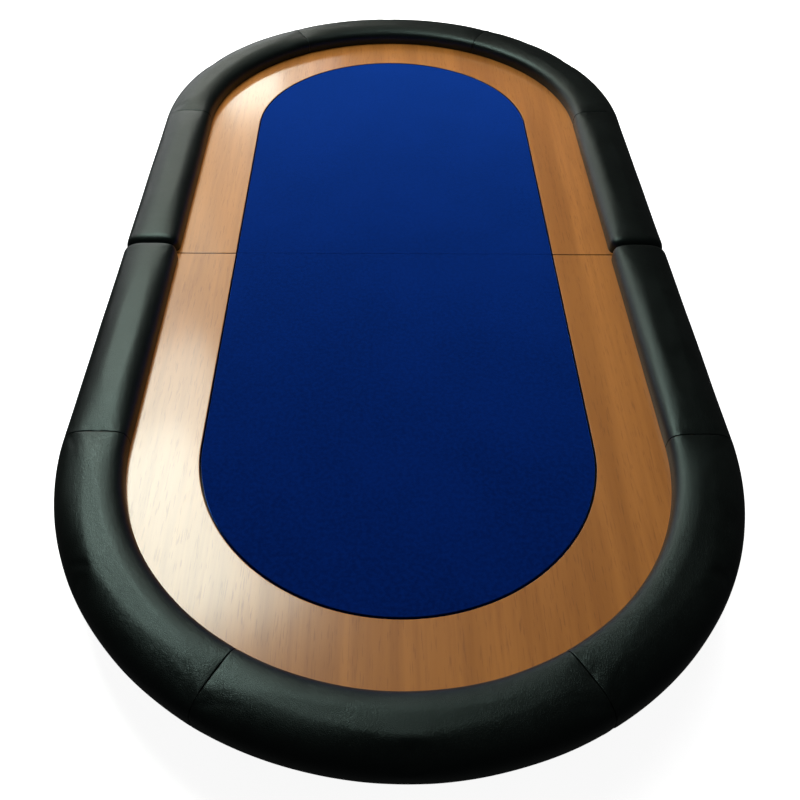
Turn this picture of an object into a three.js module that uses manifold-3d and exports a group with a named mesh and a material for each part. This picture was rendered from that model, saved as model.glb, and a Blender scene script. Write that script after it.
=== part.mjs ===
// Folding poker table top: an oval playing surface with a padded arm rail, hinged across its middle.
// Millimetres, +Z up, +Y along the length, origin on the resting plane under the middle of the fold.
// The two halves are made alike; the far one is the near one turned half round about +Z.
import * as THREE from "three";
import { mergeVertices } from "three/addons/utils/BufferGeometryUtils.js";
import Module from "manifold-3d";

// ---- Driving dimensions ----------------------------------------------------------------------
const LENGTH = 1800; // overall, along Y, with the halves open
const WIDTH = 920; // overall, along X, at the widest of the rail
const RAIL_WIDTH = 92; // from the rail's foot on the racetrack to its widest line
const RAIL_RISE = 29; // crest of the rail above the racetrack
const RAIL_FULLNESS = 2.8; // superellipse exponent of the padded section: 2 is round, more is squarer
const WIDEST_DROP = 4; // the rail's widest line, below the racetrack's surface
const FLAT_BEFORE_BASE = 2; // the vinyl lies flat underneath from this far outside the base board
const COVER_THICKNESS = 1.2; // vinyl
const COVER_TURN_UNDER = 25; // flat width of vinyl stapled to the underside
const SEAM_ANGLE = 30; // sewn seams either side of the end of the oval, degrees from +-Y
const SEAM_GAP = 0.4;

const BASE_THICKNESS = 12; // base board
const BASE_OVERHANG = 24; // the padding stands this far out past the base board
const CORE_WIDTH = 58; // timber core inside the rail
const CORE_HEIGHT = 15;

const TRACK_THICKNESS = 9; // laminated racetrack
const TRACK_WIDTH = 97; // racetrack between the rail's foot and the cloth's gap
const TRACK_UNDER_RAIL = 6; // racetrack that runs on under the padding
const CLOTH_GAP = 3; // dark line between the racetrack and the cloth
const PLAY_PAD_THICKNESS = 3;
const CLOTH_THICKNESS = 0.7;

const COVER_FOLD_GAP = 1; // between the vinyl ends of the two rails
const CLOTH_FOLD_GAP = 0.6;
const TRACK_FOLD_GAP = 2;
const BOARD_FOLD_GAP = 4;

const FOOT_HEIGHT = 8.5; // rubber feet, and so the room under the base board
const FOOT_RADIUS = 12.5;
const FOOT_INSET = 45; // foot's centre, in from the edge of the turned-under vinyl
const FOOT_FROM_FOLD = 80;
const FOOT_STAGGER = 40; // one side's feet stand this much further in, so they miss each other folded
const END_FOOT_ANGLE = 33; // degrees from the end of the oval
const FOOT_HOLE_RADIUS = 2.3;
const FOOT_RECESS_RADIUS = 5.6;
const FOOT_RECESS_DEPTH = 4;

const LEAF_LENGTH = 60; // hinge leaf along X
const LEAF_REACH = 32; // hinge leaf across the fold, from the pin
const LEAF_THICKNESS = 1.8;
const KNUCKLES = 5;
const KNUCKLE_GAP = 0.3;
const PIN_RADIUS = 1.6;
const PIN_CLEARANCE = 0.12;
const PIN_HEAD_RADIUS = 2.6;
const PIN_HEAD_LENGTH = 1.2;
const HINGE_INSET = 75; // outer hinge's end, in from the edge of the turned-under vinyl
const HINGE_SCREW_SPREAD = 40; // between a leaf's two screws
const HINGE_SCREW_FROM_FOLD = 20;
const HINGE_SCREW_RADIUS = 1.9;
const HINGE_SCREW_HEAD_RADIUS = 3.6;
const HINGE_SCREW_BITE = 9; // length in the base board

const GLUE = 0.3; // between pieces that rest on one another
const KNUCKLE_CLEARANCE = 1; // between a hinge plate's edge and the other leaf's knuckles
const FOLD_CLEARANCE = 0.3; // between a foot and the other half's underside when folded
const ARC_STEP = 7.5; // degrees a facet on the ends of the oval
const PROFILE_STEPS = 5; // facets a quarter of the rail's section
const ROUND_SIDES = 12;

// ---- Worked out from them --------------------------------------------------------------------
const endRadius = WIDTH / 2;
const spine = (LENGTH - WIDTH) / 2; // centre of each end's arc, from the fold
const railFoot = endRadius - RAIL_WIDTH;
const railMiddle = endRadius - RAIL_WIDTH / 2;
const baseRadius = endRadius - BASE_OVERHANG;
const tuckRadius = baseRadius + FLAT_BEFORE_BASE;
const turnUnderEdge = tuckRadius - COVER_TURN_UNDER;
const coreOuter = baseRadius - 1;
const coreInner = coreOuter - CORE_WIDTH;
const trackOuter = railFoot + TRACK_UNDER_RAIL;
const trackInner = railFoot - TRACK_WIDTH;
const clothRadius = trackInner - CLOTH_GAP;

const underside = FOOT_HEIGHT; // base board's lower face
const baseTop = underside + BASE_THICKNESS;
const trackBottom = baseTop + GLUE;
const trackTop = trackBottom + TRACK_THICKNESS;
const railFootZ = trackTop + GLUE;
const crest = trackTop + RAIL_RISE;
const widestZ = trackTop - WIDEST_DROP;
const coverBottom = underside - GLUE - COVER_THICKNESS;
const coreTop = trackBottom + CORE_HEIGHT;

const axisZ = underside - (FOOT_HEIGHT + FOLD_CLEARANCE) / 2; // fold axis, at Y = 0
const knuckleRadius = underside - axisZ - 2 * FOLD_CLEARANCE;
const leafTop = underside - GLUE;
const hingeOffset = turnUnderEdge - HINGE_INSET - LEAF_LENGTH / 2;
const boardFoldEnd = -BOARD_FOLD_GAP / 2;
const bendGap = THREE.MathUtils.radToDeg(GLUE / 2 / railMiddle);

const materials = {
  vinyl: new THREE.MeshStandardMaterial({ color: 0x1a1e1d, roughness: 0.5, metalness: 0 }),
  foam: new THREE.MeshStandardMaterial({ color: 0xc9c4b2, roughness: 0.95, metalness: 0 }),
  board: new THREE.MeshStandardMaterial({ color: 0x17171a, roughness: 0.75, metalness: 0 }),
  timber: new THREE.MeshStandardMaterial({ color: 0xb08a5a, roughness: 0.8, metalness: 0 }),
  laminate: new THREE.MeshStandardMaterial({ color: 0xa8692f, roughness: 0.25, metalness: 0 }),
  cloth: new THREE.MeshStandardMaterial({ color: 0x0d2f86, roughness: 0.95, metalness: 0 }),
  rubber: new THREE.MeshStandardMaterial({ color: 0x141414, roughness: 0.85, metalness: 0 }),
  zinc: new THREE.MeshStandardMaterial({ color: 0xb9bcc0, roughness: 0.35, metalness: 0.9 }),
};

const wasm = await Module();
wasm.setup();

// ---- Solids and joins ------------------------------------------------------------------------
function solid(geometry) {
  const bare = geometry.index ? geometry.toNonIndexed() : geometry.clone();
  bare.deleteAttribute("normal");
  bare.deleteAttribute("uv");
  const merged = mergeVertices(bare, 1e-4);
  return new wasm.Manifold(
    new wasm.Mesh({
      numProp: 3,
      vertProperties: merged.attributes.position.array,
      triVerts: new Uint32Array(merged.index.array),
    }),
  );
}

function geometryOf(manifold) {
  const mesh = manifold.getMesh();
  return new THREE.BufferGeometry()
    .setAttribute("position", new THREE.BufferAttribute(new Float32Array(mesh.vertProperties), 3))
    .setIndex(new THREE.BufferAttribute(new Uint32Array(mesh.triVerts), 1));
}

function cut(geometry, ...tools) {
  return geometryOf(tools.reduce((left, tool) => left.subtract(solid(tool)), solid(geometry)));
}

function join(geometry, ...others) {
  return geometryOf(others.reduce((whole, other) => whole.add(solid(other)), solid(geometry)));
}

function node(name, geometry, material) {
  const mesh = new THREE.Mesh(geometry, material);
  mesh.name = name;
  return mesh;
}

function box(x0, x1, y0, y1, z0, z1) {
  return new THREE.BoxGeometry(x1 - x0, y1 - y0, z1 - z0).translate(
    (x0 + x1) / 2,
    (y0 + y1) / 2,
    (z0 + z1) / 2,
  );
}

// A turned piece standing along +Z, from [radius, height] pairs that start and end on the axis.
function turned(profile, x, y) {
  const points = profile.map(([r, z]) => new THREE.Vector2(r, z));
  return new THREE.LatheGeometry(points, ROUND_SIDES).rotateX(Math.PI / 2).translate(x, y, 0);
}

// A turned ring about +Z, from [radius, height] pairs that close on themselves.
function ring(profile, x, y) {
  return turned([...profile, profile[0]], x, y);
}

// ---- Oval half outlines and sweeps -----------------------------------------------------------
// Half of the oval in plan, filled: radius out from the spine, ending at y = -foldGap / 2.
function halfOval(radius, foldGap, z0, z1) {
  const outline = new THREE.Shape();
  outline.moveTo(-radius, -foldGap / 2);
  outline.lineTo(-radius, -spine);
  outline.absarc(0, -spine, radius, Math.PI, 2 * Math.PI, false);
  outline.lineTo(radius, -foldGap / 2);
  outline.closePath();
  const options = { depth: z1 - z0, bevelEnabled: false, curveSegments: 90 / ARC_STEP };
  return new THREE.ExtrudeGeometry(outline, options).translate(0, 0, z0);
}

// Stations along the oval: a centre on the spine and the outward direction there.
function straightStation(side, y) {
  return { x: 0, y, outX: side, outY: 0 };
}

function arcStations(fromDegrees, toDegrees) {
  const steps = Math.max(1, Math.round(Math.abs(toDegrees - fromDegrees) / ARC_STEP));
  return Array.from({ length: steps + 1 }, (_, i) => {
    const angle = THREE.MathUtils.degToRad(fromDegrees + ((toDegrees - fromDegrees) * i) / steps);
    return { x: 0, y: -spine, outX: Math.sin(angle), outY: -Math.cos(angle) };
  });
}

// The whole half, from the fold on the right round to the fold on the left.
function halfStations(foldEnd) {
  return [straightStation(1, foldEnd), ...arcStations(90, -90), straightStation(-1, foldEnd)];
}

// A section of [radius, height] pairs carried along stations, closed at both ends.
function sweep(section, stations) {
  const shape = new THREE.Shape(section.map(([r, z]) => new THREE.Vector2(r, z)));
  const last = stations.length - 1;
  const bar = new THREE.ExtrudeGeometry(shape, { depth: last, steps: last, bevelEnabled: false });
  const at = bar.attributes.position;
  for (let i = 0; i < at.count; i++) {
    const s = stations[Math.round(at.getZ(i))];
    const radius = at.getX(i);
    at.setXYZ(i, s.x + radius * s.outX, s.y + radius * s.outY, at.getY(i));
  }
  return bar;
}

// ---- The padded rail's section ---------------------------------------------------------------
function quarter(steps, place) {
  return Array.from({ length: steps + 1 }, (_, i) => {
    const angle = ((Math.PI / 2) * i) / steps;
    const power = 2 / RAIL_FULLNESS;
    return place(Math.cos(angle) ** power, Math.sin(angle) ** power);
  });
}

// Surface of the rail, inset by a thickness: from its foot, over the crest, round and under the base.
function railPath(inset) {
  const half = RAIL_WIDTH / 2 - inset;
  const top = crest - inset;
  const bottom = coverBottom + inset;
  const inner = quarter(PROFILE_STEPS, (c, s) => [
    railMiddle - half * c,
    railFootZ + (top - railFootZ) * s,
  ]);
  const outer = quarter(PROFILE_STEPS, (c, s) => [railMiddle + half * s, widestZ + (top - widestZ) * c]);
  const under = quarter(PROFILE_STEPS, (c, s) => [
    tuckRadius + (endRadius - tuckRadius - inset) * c,
    widestZ - (widestZ - bottom) * s,
  ]);
  return [...inner, ...outer.slice(1), ...under.slice(1)];
}

function coverSection() {
  const outside = [...railPath(0), [turnUnderEdge, coverBottom]];
  const inside = [...railPath(COVER_THICKNESS), [turnUnderEdge, coverBottom + COVER_THICKNESS]];
  return [...outside, ...inside.reverse()];
}

// The vinyl that closes a rail's end at the fold.
function coverEndSection() {
  const boardEdge = trackOuter + 2 * GLUE;
  return [...railPath(0), [boardEdge, coverBottom], [boardEdge, railFootZ]];
}

// What the foam is cut round: the racetrack's edge, the timber core and the base board.
function coreClearanceSection() {
  const deep = coverBottom - RAIL_RISE;
  const inside = coreInner - GLUE;
  return [
    [clothRadius, deep],
    [baseRadius + GLUE, deep],
    [baseRadius + GLUE, coreTop + GLUE],
    [inside, coreTop + GLUE],
    [inside, railFootZ],
    [clothRadius, railFootZ],
  ];
}

function railFoam(stations) {
  const filled = sweep(railPath(COVER_THICKNESS + GLUE), stations);
  return cut(filled, sweep(coreClearanceSection(), halfStations(RAIL_WIDTH)));
}

function straightFoam(side) {
  const span = [straightStation(side, boardFoldEnd), straightStation(side, -spine + GLUE / 2)];
  return railFoam(side < 0 ? span.reverse() : span);
}

function endFoam() {
  return railFoam(arcStations(90 - bendGap, -90 + bendGap));
}

function railCore() {
  const section = [
    [coreInner, trackBottom],
    [coreOuter, trackBottom],
    [coreOuter, coreTop],
    [coreInner, coreTop],
  ];
  return sweep(section, halfStations(boardFoldEnd));
}

function coverSide(side) {
  const foldEnd = -COVER_FOLD_GAP / 2;
  const span = [straightStation(side, foldEnd), straightStation(side, -spine + SEAM_GAP / 2)];
  const cap = [straightStation(side, foldEnd), straightStation(side, foldEnd - COVER_THICKNESS)];
  if (side < 0) {
    span.reverse();
    cap.reverse();
  }
  return join(sweep(coverSection(), span), sweep(coverEndSection(), cap));
}

function coverBend(fromDegrees, toDegrees) {
  const seam = THREE.MathUtils.radToDeg(SEAM_GAP / 2 / railMiddle);
  return sweep(coverSection(), arcStations(fromDegrees - seam, toDegrees + seam));
}

// ---- Flat pieces -----------------------------------------------------------------------------
// Feet: the +X side's stand further out than the -X side's, so turned halves miss each other.
function footPlaces() {
  const outer = turnUnderEdge - FOOT_INSET;
  const turn = THREE.MathUtils.radToDeg(FOOT_STAGGER / outer);
  const end = (side, degrees) => {
    const angle = THREE.MathUtils.degToRad(degrees);
    return [side * outer * Math.sin(angle), -spine - outer * Math.cos(angle)];
  };
  return {
    fold_right: [outer, -FOOT_FROM_FOLD],
    fold_left: [FOOT_STAGGER - outer, -FOOT_FROM_FOLD],
    end_right: end(1, END_FOOT_ANGLE),
    end_left: end(-1, END_FOOT_ANGLE + turn),
  };
}

function hingePlaces() {
  return { left: -hingeOffset, middle: 0, right: hingeOffset };
}

function screwPlaces(hingeX) {
  return { left: hingeX - HINGE_SCREW_SPREAD / 2, right: hingeX + HINGE_SCREW_SPREAD / 2 };
}

// A round cutter or pin from the axis out, standing on z0.
function post(x, y, radius, z0, z1) {
  const profile = [
    [0, z0],
    [radius, z0],
    [radius, z1],
    [0, z1],
  ];
  return turned(profile, x, y);
}

function baseBoard() {
  const depth = underside + HINGE_SCREW_BITE + GLUE;
  const holes = Object.values(hingePlaces())
    .flatMap((hingeX) => Object.values(screwPlaces(hingeX)))
    .map((x) => post(x, -HINGE_SCREW_FROM_FOLD, HINGE_SCREW_RADIUS + GLUE, underside - 1, depth));
  return cut(halfOval(baseRadius, BOARD_FOLD_GAP, underside, baseTop), ...holes);
}

function racetrack() {
  const section = [
    [trackInner, trackBottom],
    [trackOuter, trackBottom],
    [trackOuter, trackTop],
    [trackInner, trackTop],
  ];
  return sweep(section, halfStations(-TRACK_FOLD_GAP / 2));
}

// The cloth is drawn over the pad and down round the edge of its board.
const padTop = trackTop - CLOTH_THICKNESS;
const padBottom = padTop - PLAY_PAD_THICKNESS;
const playBoardTop = padBottom - GLUE;
const playBoardBottom = trackBottom;
const wrappedGap = CLOTH_FOLD_GAP + 2 * (CLOTH_THICKNESS + GLUE);
const wrappedRadius = clothRadius - CLOTH_THICKNESS - GLUE;

function playCloth() {
  const insideTop = padTop + GLUE / 2;
  const inside = halfOval(wrappedRadius + GLUE, wrappedGap - 2 * GLUE, playBoardBottom - 1, insideTop);
  return cut(halfOval(clothRadius, CLOTH_FOLD_GAP, playBoardBottom, trackTop + GLUE / 2), inside);
}

// ---- Feet ------------------------------------------------------------------------------------
function foot(x, y) {
  const top = underside - GLUE;
  return ring(
    [
      [FOOT_HOLE_RADIUS, FOOT_RECESS_DEPTH],
      [FOOT_RECESS_RADIUS, FOOT_RECESS_DEPTH],
      [FOOT_RECESS_RADIUS, 0],
      [FOOT_RADIUS - 1, 0],
      [FOOT_RADIUS, 1],
      [FOOT_RADIUS, top],
      [FOOT_HOLE_RADIUS, top],
    ],
    x,
    y,
  );
}

// ---- One half of the top ---------------------------------------------------------------------
function half(prefix, left, right) {
  const group = new THREE.Group();
  const add = (name, geometry, material) => group.add(node(`${prefix}_${name}`, geometry, material));
  add("base_board", baseBoard(), materials.board);
  add("rail_core", railCore(), materials.timber);
  add(`rail_foam_${right}`, straightFoam(1), materials.foam);
  add("rail_foam_end", endFoam(), materials.foam);
  add(`rail_foam_${left}`, straightFoam(-1), materials.foam);
  add(`rail_cover_${right}_side`, coverSide(1), materials.vinyl);
  add(`rail_cover_${right}_bend`, coverBend(90, SEAM_ANGLE), materials.vinyl);
  add("rail_cover_end_bend", coverBend(SEAM_ANGLE, -SEAM_ANGLE), materials.vinyl);
  add(`rail_cover_${left}_bend`, coverBend(-SEAM_ANGLE, -90), materials.vinyl);
  add(`rail_cover_${left}_side`, coverSide(-1), materials.vinyl);
  add("racetrack", racetrack(), materials.laminate);
  add("play_board", halfOval(wrappedRadius, wrappedGap, playBoardBottom, playBoardTop), materials.timber);
  add("play_pad", halfOval(wrappedRadius, wrappedGap, padBottom, padTop), materials.foam);
  add("play_cloth", playCloth(), materials.cloth);
  for (const [place, [x, y]] of Object.entries(footPlaces())) {
    const [row, side] = place.split("_");
    add(`foot_${row}_${side === "right" ? right : left}`, foot(x, y), materials.rubber);
  }
  return group;
}

// ---- Hinges ----------------------------------------------------------------------------------
const knucklePitch = LEAF_LENGTH / KNUCKLES;

function knuckle(centreX, radius, length) {
  const barrel = new THREE.CylinderGeometry(radius, radius, length, ROUND_SIDES);
  return barrel.rotateZ(Math.PI / 2).translate(centreX, 0, axisZ);
}

// side -1 is the near leaf, with the odd knuckles; side 1 is the far leaf, with the ones between.
function hingeLeaf(x, side) {
  const edge = knuckleRadius + KNUCKLE_CLEARANCE;
  const span = (from, to) => [Math.min(side * from, side * to), Math.max(side * from, side * to)];
  const plate = (x0, x1, from) =>
    box(x0, x1, ...span(from, LEAF_REACH), leafTop - LEAF_THICKNESS, leafTop);
  const pieces = [];
  for (let k = side < 0 ? 0 : 1; k < KNUCKLES; k += 2) {
    const centre = x - LEAF_LENGTH / 2 + (k + 0.5) * knucklePitch;
    const reach = knucklePitch / 2 - KNUCKLE_GAP / 2;
    pieces.push(plate(centre - reach, centre + reach, 0));
    pieces.push(knuckle(centre, knuckleRadius, 2 * reach));
  }
  const joined = join(plate(x - LEAF_LENGTH / 2, x + LEAF_LENGTH / 2, edge), ...pieces);
  const screwHoles = Object.values(screwPlaces(x)).map((screwX) => countersink(screwX, side));
  return cut(joined, knuckle(x, PIN_RADIUS + PIN_CLEARANCE, 2 * LEAF_LENGTH), ...screwHoles);
}

// The tapered hole under a screw's head, right through the leaf.
function countersink(x, side) {
  const hole = HINGE_SCREW_RADIUS + GLUE;
  const mouth = HINGE_SCREW_HEAD_RADIUS + GLUE;
  const leafBottom = leafTop - LEAF_THICKNESS;
  const profile = [
    [0, leafBottom - 1],
    [mouth, leafBottom - 1],
    [mouth, leafBottom],
    [hole, leafTop],
    [hole, leafTop + 1],
    [0, leafTop + 1],
  ];
  return turned(profile, x, side * HINGE_SCREW_FROM_FOLD);
}

function hingeScrew(x, side) {
  const headFace = leafTop - LEAF_THICKNESS + GLUE / 2;
  const tip = underside + HINGE_SCREW_BITE;
  const profile = [
    [0, headFace],
    [HINGE_SCREW_HEAD_RADIUS, headFace],
    [HINGE_SCREW_RADIUS, leafTop],
    [HINGE_SCREW_RADIUS, tip - 2 * HINGE_SCREW_RADIUS],
    [0, tip],
  ];
  return turned(profile, x, side * HINGE_SCREW_FROM_FOLD);
}

function hingePin(x) {
  const end = LEAF_LENGTH / 2 + KNUCKLE_GAP + PIN_HEAD_LENGTH / 2;
  return join(
    knuckle(x, PIN_RADIUS, 2 * end),
    knuckle(x - end, PIN_HEAD_RADIUS, PIN_HEAD_LENGTH),
    knuckle(x + end, PIN_HEAD_RADIUS, PIN_HEAD_LENGTH),
  );
}

// ---- The assembly ----------------------------------------------------------------------------
const top = new THREE.Group();
top.add(half("near", "left", "right"));
const farHalf = half("far", "right", "left");
farHalf.rotation.z = Math.PI;
top.add(farHalf);

for (const [place, x] of Object.entries(hingePlaces())) {
  for (const [leaf, side] of Object.entries({ near: -1, far: 1 })) {
    top.add(node(`hinge_${place}_${leaf}_leaf`, hingeLeaf(x, side), materials.zinc));
    for (const [hand, screwX] of Object.entries(screwPlaces(x))) {
      const name = `hinge_${place}_${leaf}_screw_${hand}`;
      top.add(node(name, hingeScrew(screwX, side), materials.zinc));
    }
  }
  top.add(node(`hinge_${place}_pin`, hingePin(x), materials.zinc));
}

export default top;
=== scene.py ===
# %% [markdown]
# # A folding poker table top
# An oval top in two halves, hinged underneath: a padded vinyl arm rail, a glossy wood racetrack and a
# blue cloth playing surface. The measured model comes in first as a frame. Each part that shows is then
# made again with a finer surface, in the place that the frame gives it.

# %% Load the frame
import math

import bpy
import numpy as np
from mathutils import Matrix, Vector, noise


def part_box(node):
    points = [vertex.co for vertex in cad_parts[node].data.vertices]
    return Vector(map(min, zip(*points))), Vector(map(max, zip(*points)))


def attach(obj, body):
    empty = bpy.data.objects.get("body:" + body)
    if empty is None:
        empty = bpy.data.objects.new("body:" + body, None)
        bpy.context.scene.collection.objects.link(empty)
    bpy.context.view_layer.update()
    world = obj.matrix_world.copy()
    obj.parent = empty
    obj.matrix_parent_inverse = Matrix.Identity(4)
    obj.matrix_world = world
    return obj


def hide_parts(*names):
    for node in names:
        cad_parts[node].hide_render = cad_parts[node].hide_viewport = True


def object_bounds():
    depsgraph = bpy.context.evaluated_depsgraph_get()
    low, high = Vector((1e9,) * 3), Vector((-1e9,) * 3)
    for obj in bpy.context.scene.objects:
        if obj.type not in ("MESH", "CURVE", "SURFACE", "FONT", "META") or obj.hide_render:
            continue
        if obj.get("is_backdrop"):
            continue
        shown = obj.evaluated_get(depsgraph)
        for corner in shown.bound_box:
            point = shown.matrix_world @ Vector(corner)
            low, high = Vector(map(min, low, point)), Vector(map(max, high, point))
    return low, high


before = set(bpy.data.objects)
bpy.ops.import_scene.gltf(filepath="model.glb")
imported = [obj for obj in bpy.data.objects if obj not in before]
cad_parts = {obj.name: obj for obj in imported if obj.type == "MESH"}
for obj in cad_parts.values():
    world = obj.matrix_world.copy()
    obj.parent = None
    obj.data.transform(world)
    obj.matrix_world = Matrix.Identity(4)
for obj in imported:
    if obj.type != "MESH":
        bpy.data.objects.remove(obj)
cad_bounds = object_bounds()
print("model box", [tuple(round(c, 4) for c in corner) for corner in cad_bounds])

# %% [markdown]
# ## Sizes
# Nothing is measured twice. The oval is a straight spine with round ends, so a few corners of the
# frame's boxes give every radius and height. What the boxes can't tell, such as how far the vinyl turns
# under or how square the rail's shoulders are, is named first.

# %% Read the oval's sizes from the frame
MM = 0.001
TRACK_SHOWN = 97 * MM
WIDEST_DROP = 4 * MM
TUCK_MARGIN = 2 * MM
TURN_UNDER = 25 * MM
COVER_THICKNESS = 1.2 * MM
INNER_FULLNESS = 4.2
OUTER_FULLNESS = 2.8
HALF_TURN = Matrix.Rotation(math.pi, 4, "Z")


def low(node):
    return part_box(node)[0]


def high(node):
    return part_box(node)[1]


RAIL_OUTER = high("near_rail_cover_right_side").x
RAIL_FOOT = low("near_rail_cover_right_side").x
SPINE = -low("near_rail_cover_end_bend").y - RAIL_OUTER
CREST = high("near_rail_cover_right_side").z
COVER_BOTTOM = low("near_rail_cover_right_side").z
COVER_GAP = -high("near_rail_cover_right_side").y
TRACK_TOP = high("near_racetrack").z
TRACK_BOTTOM = low("near_racetrack").z
TRACK_GAP = -high("near_racetrack").y
TRACK_OUTER = high("near_racetrack").x
TRACK_INNER = RAIL_FOOT - TRACK_SHOWN
CLOTH_RADIUS = high("near_play_cloth").x
CLOTH_TOP = high("near_play_cloth").z
CLOTH_BOTTOM = low("near_play_cloth").z
BASE_RADIUS = high("near_base_board").x
BASE_BOTTOM = low("near_base_board").z
BASE_TOP = high("near_base_board").z
BASE_GAP = -high("near_base_board").y
RAIL_MIDDLE = (RAIL_FOOT + RAIL_OUTER) / 2
WIDEST = TRACK_TOP - WIDEST_DROP
TUCK_RADIUS = BASE_RADIUS + TUCK_MARGIN
TURN_UNDER_EDGE = TUCK_RADIUS - TURN_UNDER
print("spine", round(SPINE, 4), "rail", round(RAIL_FOOT, 4), "to", round(RAIL_OUTER, 4))

# %% [markdown]
# ## The camera
# The top is seen from a standing person's eye at its near end, looking down its length.

# %% Place the camera
EYE = (-0.0301, -1.283, 0.980)
LOOK_DOWN = math.radians(44.07)
LOOK_LEFT = math.radians(0.42)
bpy.ops.object.camera_add(location=EYE, rotation=(LOOK_DOWN, 0, LOOK_LEFT))
camera = bpy.context.object
camera.data.sensor_width = 36
camera.data.lens = 41.45
camera.data.shift_x = 0.036
camera.data.shift_y = 0.008
bpy.context.scene.camera = camera
bpy.context.scene.view_settings.view_transform = "Standard"
print("camera", tuple(round(c, 3) for c in camera.location), "lens", camera.data.lens)

# %% [markdown]
# ## Hand tools
# The operators work on whatever is selected, so each tool first clears the selection and takes hold of
# one piece. Faces are picked by where they are or which way they face, as the mouse would.

# %% Selecting and editing


def take(piece):
    """Selects one piece and nothing else."""
    bpy.ops.object.select_all(action="DESELECT")
    piece.select_set(True)
    bpy.context.view_layer.objects.active = piece


def pick(piece, keep, kind="faces"):
    """Selects the piece's faces, edges or vertices that keep() says yes to."""
    mesh = piece.data
    for items in (mesh.vertices, mesh.edges, mesh.polygons):
        items.foreach_set("select", [False] * len(items))
    if kind == "vertices":
        mesh.vertices.foreach_set("select", [bool(keep(v.co)) for v in mesh.vertices])
        return
    if kind == "edges":
        ends = [(mesh.vertices[e.vertices[0]].co, mesh.vertices[e.vertices[1]].co) for e in mesh.edges]
        mesh.edges.foreach_set("select", [bool(keep(a, b)) for a, b in ends])
    else:
        mesh.polygons.foreach_set("select", [bool(keep(f)) for f in mesh.polygons])


def faces_down(face):
    return face.normal.z < -0.9


def edit(piece, select_mode, *steps):
    """Runs edit-mode operators on what is selected."""
    take(piece)
    bpy.ops.object.mode_set(mode="EDIT")
    bpy.context.tool_settings.mesh_select_mode = [select_mode == m for m in ("VERT", "EDGE", "FACE")]
    for step in steps:
        step()
    bpy.ops.object.mode_set(mode="OBJECT")


def pull(x, y, z):
    """Extrudes the selected faces by an offset."""
    bpy.ops.mesh.extrude_region_move(TRANSFORM_OT_translate={"value": (x, y, z)})


def round_off(piece, select_mode, width, segments):
    """Bevels the selected edges, or the edges of the selected faces."""
    edit(piece, select_mode, lambda: bpy.ops.mesh.bevel(offset=width, segments=segments, affect="EDGES"))


def modify(piece, kind, **settings):
    """Adds a modifier, sets it up and applies it."""
    take(piece)
    modifier = piece.modifiers.new(kind.title(), kind)
    for key, value in settings.items():
        setattr(modifier, key, value)
    bpy.ops.object.modifier_apply(modifier=modifier.name)


def freeze(piece):
    """Puts a piece's place, turn and scale into its mesh."""
    take(piece)
    bpy.ops.object.transform_apply(location=True, rotation=True, scale=True)
    return piece


def settle(piece, name, degrees=35):
    """Freezes a finished piece, smooths it and names it."""
    freeze(piece)
    bpy.ops.object.shade_smooth_by_angle(angle=math.radians(degrees))
    piece.name = name
    piece.data.name = name
    return piece


def copied(piece, name, matrix=Matrix.Identity(4)):
    """A copy with its own mesh, moved by a matrix that goes into the mesh."""
    copy = piece.copy()
    copy.data = piece.data.copy()
    bpy.context.collection.objects.link(copy)
    copy.data.transform(matrix)
    copy.name = name
    copy.data.name = name
    return copy


def joined(pieces, name):
    """Several pieces as one object."""
    bpy.ops.object.select_all(action="DESELECT")
    for piece in pieces:
        piece.select_set(True)
    bpy.context.view_layer.objects.active = pieces[0]
    bpy.ops.object.join()
    pieces[0].name = name
    return pieces[0]


def cut_by(piece, tool, operation="DIFFERENCE"):
    """Joins or cuts a piece with a tool, and throws the tool away."""
    modify(piece, "BOOLEAN", object=tool, operation=operation, solver="EXACT")
    bpy.data.objects.remove(tool)


print("tools ready")

# %% [markdown]
# ## Shader arithmetic
# A finish is a sum of small patterns. Wrapping a node's output in a class with Python's operators lets
# `0.2 + 0.3 * grain` add its own Math nodes, so the recipe for a finish reads as a line of arithmetic.

# %% A socket that can be added and multiplied


class Wire:
    def __init__(self, finish, socket):
        self.finish = finish
        self.socket = socket

    def math(self, operation, *values):
        return self.finish.add("ShaderNodeMath", {"operation": operation}, dict(enumerate(values)))

    def __add__(self, other):
        return self.math("ADD", self, other)

    def __sub__(self, other):
        return self.math("SUBTRACT", self, other)

    def __rsub__(self, other):
        return self.math("SUBTRACT", other, self)

    def __mul__(self, other):
        return self.math("MULTIPLY", self, other)

    __radd__ = __add__
    __rmul__ = __mul__

    def between(self, start, end):
        """0 below start, 1 above end, and smooth between them."""
        inputs = {"Value": self, "From Min": start, "From Max": end}
        return self.finish.add("ShaderNodeMapRange", {"interpolation_type": "SMOOTHSTEP"}, inputs)


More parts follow.
